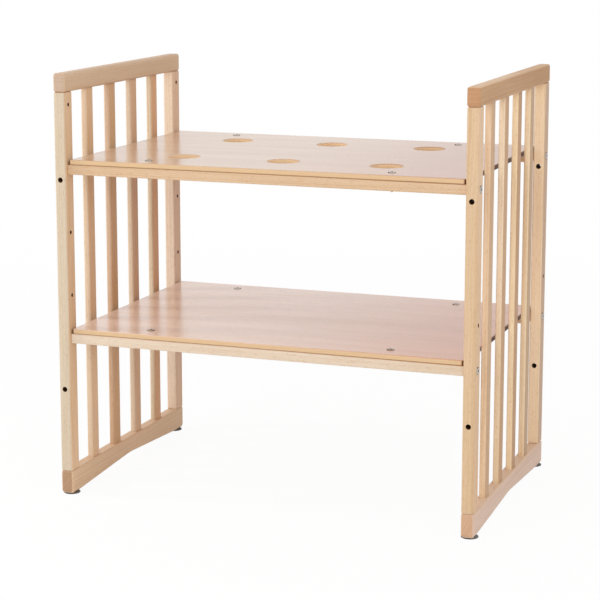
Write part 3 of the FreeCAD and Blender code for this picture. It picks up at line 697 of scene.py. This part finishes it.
# A darker copy of the plating, painted shade for the sockets and the ends of the bolt heads
plating_painted_shade = plated_steel("plated_steel_painted_shade", (66, 54, 46), (46, 38, 33))
SHANK = 0.003
THREAD_ROOT = 0.0025
THREAD_PITCH = 0.001
THREAD_SINK = 0.0001
THREAD_RUNOUT = 0.0005
SNUG_PLAY = 0.00005
TIP_REACH = 0.0019
TIP_TAPER = 0.0006
HEAD_REACH = 0.00875
HEAD_RISE = 0.002
HEAD_EDGE = 0.0002
HEAD_RIM = 0.0006
HEAD_DOME = ((0.0084, 0.0010), (0.0076, 0.0014), (0.0062, 0.0018), (0.0046, HEAD_RISE))
SOCKET_MOUTH = ((0.0031, HEAD_RISE), (0.0025, HEAD_RISE - 0.0004))
SOCKET_WIDTH = 0.004
SOCKET_FLOOR = -0.001
SOCKET_MARGIN = 0.0001
SOCKET_RIM = 0.0029
FLANK_START = 0.0066
OVERCUT = 0.001


def turn_bolt(name, length, threaded):
    """A bolt with its head up: the head's underside is at zero."""
    thread_top = threaded - length
    bolt = turn_piece(
        name,
        (
            (TIP_REACH, -length),
            (THREAD_ROOT, TIP_TAPER - length),
            (THREAD_ROOT, thread_top),
            (SHANK, thread_top + THREAD_RUNOUT),
            (SHANK, 0.0),
            (HEAD_REACH - HEAD_EDGE, 0.0),
            (HEAD_REACH, HEAD_EDGE),
            (HEAD_REACH, HEAD_RIM),
            *HEAD_DOME,
            *SOCKET_MOUTH,
        ),
    )
    carve(bolt, prism(SOCKET_WIDTH, SOCKET_FLOOR, HEAD_RISE + OVERCUT))
    wind_thread(bolt, THREAD_ROOT - THREAD_SINK, SHANK, THREAD_PITCH, TIP_TAPER - length, thread_top)

    # The socket and the two ends of the head's flank take the darker copy of the plating: painted shade
    bolt.data.materials.append(bright_steel)
    bolt.data.materials.append(plating_painted_shade)
    for face in bolt.data.polygons:
        middle = face.center
        in_socket = math.hypot(middle.x, middle.y) < SOCKET_RIM and middle.z > SOCKET_FLOOR - SOCKET_MARGIN
        face.material_index = 1 if in_socket or abs(middle.x) > FLANK_START else 0
    return bolt


CONNECTOR_THREAD = 0.024
low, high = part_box("upper_connector_bolts")
face = high.x - HEAD_RISE
line = high.y - HEAD_REACH
points = frame["nodes"]["upper_connector_bolts"].data.vertices
tip = min(point.co.x for point in points if point.co.x > 0.0)
connector_bolt = turn_bolt("connector_bolt", face - tip, CONNECTOR_THREAD)
for shelf in ("upper", "lower"):
    node = f"{shelf}_connector_bolts"
    low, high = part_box(node)
    height = (low.z + high.z) / 2
    spots = []
    for way in (-1, 1):
        for depth in (-line, line):
            spots.append(((way * face, depth, height), (0.0, way * math.pi / 2, 0.0)))
    set_copies(connector_bolt, node, spots)
bpy.data.objects.remove(connector_bolt)


# Barrel nuts.
# Short steel rods with a cross hole for the bolt and a screwdriver slot in the lower end.
# They lie in the shelf rails, pushed in from below, and the connector bolts screw into them.
BARREL_REACH = 0.005
BARREL_CHAMFER = 0.0004
DRIVER_SLOT = (0.0012, 0.012, 0.0024)
CROSS_CUT = 0.012
CROSS_SIDES = 24
low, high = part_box("upper_barrel_nuts")
length = high.z - low.z
barrel_nut = turn_piece(
    "barrel_nut",
    (
        (BARREL_REACH - BARREL_CHAMFER, 0.0),
        (BARREL_REACH, BARREL_CHAMFER),
        (BARREL_REACH, length - BARREL_CHAMFER),
        (BARREL_REACH - BARREL_CHAMFER, length),
    ),
)
bpy.ops.mesh.primitive_cube_add(size=1.0, location=(0.0, 0.0, 0.0), scale=DRIVER_SLOT)
bpy.ops.object.transform_apply(location=True, rotation=True, scale=True)
carve(barrel_nut, bpy.context.object)
bpy.ops.mesh.primitive_cylinder_add(
    vertices=CROSS_SIDES,
    radius=SHANK + SNUG_PLAY,
    depth=CROSS_CUT,
    location=(0.0, 0.0, length / 2),
    rotation=(0.0, math.pi / 2, 0.0),
)
bpy.ops.object.transform_apply(location=True, rotation=True, scale=True)
carve(barrel_nut, bpy.context.object)
barrel_nut.data.materials.append(bright_steel)
for shelf in ("upper", "lower"):
    node = f"{shelf}_barrel_nuts"
    low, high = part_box(node)
    spots = []
    for across in (low.x + BARREL_REACH, high.x - BARREL_REACH):
        for depth in (low.y + BARREL_REACH, high.y - BARREL_REACH):
            spots.append(((across, depth, low.z), (0.0, 0.0, 0.0)))
    set_copies(barrel_nut, node, spots)
bpy.data.objects.remove(barrel_nut)


# Board bolts with their washers and nuts.
# The same steel bolts with domed heads; flat stamped washers and chamfered hexagon nuts.
# They go down through a board and the rail under it; the nuts are tightened from below.
BOARD_THREAD = 0.016
FIRST_TURN = 0.26
NEXT_TURN = 0.09
low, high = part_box("upper_board_bolts")
across = high.x - HEAD_REACH
line = high.y - HEAD_REACH
corners = [(way * across, side * line) for way in (-1, 1) for side in (-1, 1)]
board_bolt = turn_bolt("board_bolt", high.z - HEAD_RISE - low.z, BOARD_THREAD)

WASHER_REACH = 0.008
WASHER_PLAY = 0.0002
ROLLED_EDGE = 0.0002
STAMPED_EDGE = 0.0003
low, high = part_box("upper_board_washers")
thick = high.z - low.z
washer = turn_piece(
    "washer",
    (
        (WASHER_REACH - ROLLED_EDGE, 0.0),
        (WASHER_REACH, STAMPED_EDGE),
        (WASHER_REACH, thick - STAMPED_EDGE),
        (WASHER_REACH - STAMPED_EDGE, thick),
    ),
)
carve(washer, prism(2 * (SHANK + WASHER_PLAY), -OVERCUT, thick + OVERCUT, sides=ROUND_SIDES))
washer.data.materials.append(bright_steel)

NUT_WIDTH = 0.010
NUT_FACE = 0.0049
NUT_BLANK = 0.0059
NUT_CHAMFER = 0.0006
low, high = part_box("upper_board_nuts")
thick = high.z - low.z
hex_nut = turn_piece(
    "hex_nut",
    (
        (NUT_FACE, 0.0),
        (NUT_BLANK, NUT_CHAMFER),
        (NUT_BLANK, thick - NUT_CHAMFER),
        (NUT_FACE, thick),
    ),
)
carve(hex_nut, prism(NUT_WIDTH, -OVERCUT, thick + OVERCUT), "INTERSECT")
carve(hex_nut, prism(2 * SHANK, -OVERCUT, thick + OVERCUT, sides=ROUND_SIDES))
hex_nut.data.materials.append(bright_steel)

for shelf in ("upper", "lower"):
    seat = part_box(f"{shelf}_board_bolts")[1].z - HEAD_RISE
    spots = []
    for number, (x, y) in enumerate(corners):
        spots.append(((x, y, seat), (0.0, 0.0, FIRST_TURN + NEXT_TURN * number)))
    set_copies(board_bolt, f"{shelf}_board_bolts", spots)
    for model, node in ((washer, f"{shelf}_board_washers"), (hex_nut, f"{shelf}_board_nuts")):
        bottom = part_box(node)[0].z
        set_copies(model, node, [((x, y, bottom), (0.0, 0.0, 0.0)) for x, y in corners])
for model in (board_bolt, washer, hex_nut):
    bpy.data.objects.remove(model)


# Levelling feet.
# A steel sleeve nut in the bottom rail, a threaded steel stem, and a moulded grey pad that swivels on it.
# The pads carry the crib; turning the stem raises or lowers one corner.
dress("foot_sleeves", bright_steel)

PAD_DARK = (84, 82, 82)
PAD_PALE = (116, 114, 114)
MOULD_SCALE = (1400.0, 1400.0, 1400.0)
MOULD_ROUGHNESS = 0.35
MOULD_DULLING = 0.25
MOULD_RELIEF = 0.0001


def moulded_grey(name):
    finish, tree, shader = new_finish(name)
    spot = tree.nodes.new("ShaderNodeTexCoord")
    cloud = add_noise(tree, (spot, "Object"), MOULD_SCALE, detail=2.0)
    tone = fixed_blend(tree, cloud, PAD_DARK, PAD_PALE)
    wire(tree, tone[0], tone[1], shader, "Base Color")
    rough = add_math(tree, "MULTIPLY_ADD", cloud, MOULD_DULLING, MOULD_ROUGHNESS)
    wire(tree, rough[0], rough[1], shader, "Roughness")
    raise_surface(tree, shader, cloud, MOULD_RELIEF)
    return finish


grey_pad = moulded_grey("moulded_grey")
STEM_REACH = 0.004
STEM_ROOT = 0.0034
STEM_PITCH = 0.00125
STEM_EDGE = 0.0003
STEM_FOOT = 0.0019
STEM_THREAD = 0.0022
STEM_TAPER = 0.0008
STEM_TIP = 0.0028
low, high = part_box("left_front_stem")
length = high.z - low.z
stem = turn_piece(
    "stem",
    (
        (STEM_REACH - STEM_EDGE, 0.0),
        (STEM_REACH, STEM_EDGE),
        (STEM_REACH, STEM_FOOT),
        (STEM_ROOT, STEM_THREAD),
        (STEM_ROOT, length - STEM_TAPER),
        (STEM_TIP, length),
    ),
)
wind_thread(stem, STEM_ROOT - THREAD_SINK, STEM_REACH, STEM_PITCH, STEM_THREAD, length - STEM_TAPER)
stem.data.materials.append(bright_steel)

PAD_REACH = 0.0195
PAD_THICK = 0.003
PAD_FLOOR = 0.001
PAD_SIDES = 64

# How far the pad's rounded rim draws in, from its underside to its top
PAD_RIM = (
    (0.0016, 0.0),
    (0.0006, 0.0003),
    (0.0001, 0.0009),
    (0.0, 0.0014),
    (0.0003, 0.0021),
    (0.0010, 0.0027),
    (0.0020, PAD_THICK),
)
pad = turn_piece("pad", [(PAD_REACH - inset, height) for inset, height in PAD_RIM], sides=PAD_SIDES)
carve(pad, prism(2 * (STEM_REACH + SNUG_PLAY), PAD_FLOOR, PAD_THICK + OVERCUT, sides=ROUND_SIDES))
pad.data.materials.append(grey_pad)

for side in ("left", "right"):
    for end in ("front", "rear"):
        low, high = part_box(f"{side}_{end}_stem")
        x = (low.x + high.x) / 2
        y = (low.y + high.y) / 2
        set_copies(stem, f"{side}_{end}_stem", [((x, y, low.z), (0.0, 0.0, 0.0))])
        set_copies(pad, f"{side}_{end}_pad", [((x, y, 0.0), (0.0, 0.0, 0.0))])
bpy.data.objects.remove(stem)
bpy.data.objects.remove(pad)


# Floor.
# A wide pale sheet; the camera sees it as white and it keeps the soft shadow of the crib.
FLOOR_REACH = 120.0
FLOOR_TONE = (0.93, 0.93, 0.93, 1.0)
SHADOW_REACH = (1.2, 4.0)
NEAR_WHITE = 0.94
bpy.ops.object.select_all(action="DESELECT")
bpy.ops.mesh.primitive_plane_add(size=FLOOR_REACH, location=(0.0, 0.0, 0.0))
floor = bpy.context.object
floor.name = "studio_floor"
floor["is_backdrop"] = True
floor_finish, tree, shader = new_finish("studio_floor")
tree.nodes.remove(shader)
matte = tree.nodes.new("ShaderNodeBsdfDiffuse")
matte.inputs["Color"].default_value = FLOOR_TONE
glow = tree.nodes.new("ShaderNodeEmission")
glow.inputs["Strength"].default_value = 1.0
light_path = tree.nodes.new("ShaderNodeLightPath")
seen = add_math(tree, "MAXIMUM", (light_path, "Is Camera Ray"), (light_path, "Is Glossy Ray"))
spot = tree.nodes.new("ShaderNodeTexCoord")
away = tree.nodes.new("ShaderNodeVectorMath")
away.operation = "LENGTH"
wire(tree, spot, "Object", away, 0)
far = add_step(tree, (away, "Value"), *SHADOW_REACH)
white = add_math(tree, "MULTIPLY_ADD", far, 1.0 - NEAR_WHITE, NEAR_WHITE)
share = add_math(tree, "MULTIPLY", seen, white)
mix = tree.nodes.new("ShaderNodeMixShader")
wire(tree, share[0], share[1], mix, 0)
wire(tree, matte, "BSDF", mix, 1)
wire(tree, glow, "Emission", mix, 2)
wire(tree, mix, "Shader", tree.nodes["Material Output"], "Surface")
floor.data.materials.append(floor_finish)


# Studio light.
# A white room with more light from above, a wide soft lamp high in front, a small one on the left
# that draws soft slat shadows, and a weak one high on the right.
SIDE_LIGHT = 0.42
OVERHEAD_LIGHT = 0.40
world = bpy.data.worlds.new("studio_room")
bpy.context.scene.world = world
world.use_nodes = True
tree = world.node_tree
room = tree.nodes["Background"]
room.inputs["Color"].default_value = (1.0, 1.0, 1.0, 1.0)
light_path = tree.nodes.new("ShaderNodeLightPath")
seen = add_math(tree, "MAXIMUM", (light_path, "Is Camera Ray"), (light_path, "Is Glossy Ray"))
seen = add_math(tree, "MAXIMUM", seen, (light_path, "Is Transmission Ray"))
spot = tree.nodes.new("ShaderNodeTexCoord")
rise = add_math(tree, "MAXIMUM", (split_axes(tree, spot, "Generated"), "Z"), 0.0)
light = add_math(tree, "MULTIPLY_ADD", rise, OVERHEAD_LIGHT, SIDE_LIGHT)
unseen = add_math(tree, "SUBTRACT", 1.0, seen)
strength = add_math(tree, "MULTIPLY_ADD", unseen, light, seen)
wire(tree, strength[0], strength[1], room, "Strength")


def soft_lamp(name, place, aim, width, height, power):
    """A soft lamp that lights the crib and leaves no mirror image in the varnish."""
    bpy.ops.object.select_all(action="DESELECT")
    bpy.ops.object.light_add(type="AREA", location=place)
    lamp = bpy.context.object
    lamp.name = name
    lamp.data.shape = "RECTANGLE"
    lamp.data.size = width
    lamp.data.size_y = height
    lamp.data.energy = power
    lamp.visible_glossy = False
    to_aim = [end - start for end, start in zip(aim, place)]
    across = math.hypot(to_aim[0], to_aim[1])
    lamp.rotation_euler = (math.atan2(across, -to_aim[2]), 0.0, math.atan2(-to_aim[0], to_aim[1]))


MIDDLE = (0.0, 0.0, 0.5)

# Place, width, height and power of each lamp
LAMPS = {
    "front_lamp": ((0.9, -4.1, 2.4), 5.5, 2.0, 72.0),
    "left_lamp": ((-2.7, -0.85, 1.35), 0.4, 0.4, 30.0),
    "right_lamp": ((2.6, -0.9, 2.9), 1.6, 1.6, 15.0),
}
for name, (place, width, height, power) in LAMPS.items():
    soft_lamp(name, place, MIDDLE, width, height, power)


# Camera.
# It stands to the right in front of the crib, a little above its top, with a long lens.
CAMERA_PLACE = (1.5344, -4.2397, 1.3491)
YAW = math.radians(20.147)
PITCH = math.radians(10.13)
bpy.ops.object.select_all(action="DESELECT")
bpy.ops.object.camera_add(location=CAMERA_PLACE)
camera = bpy.context.object
camera.name = "photo_camera"
camera.data.sensor_width = 36.0
camera.data.lens = 116.96
camera.data.shift_y = -0.075
camera.data.clip_end = 200.0
camera.rotation_euler = (math.pi / 2 - PITCH, 0.0, YAW)
bpy.context.scene.camera = camera

bpy.context.scene.view_settings.view_transform = "Standard"
low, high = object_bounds()
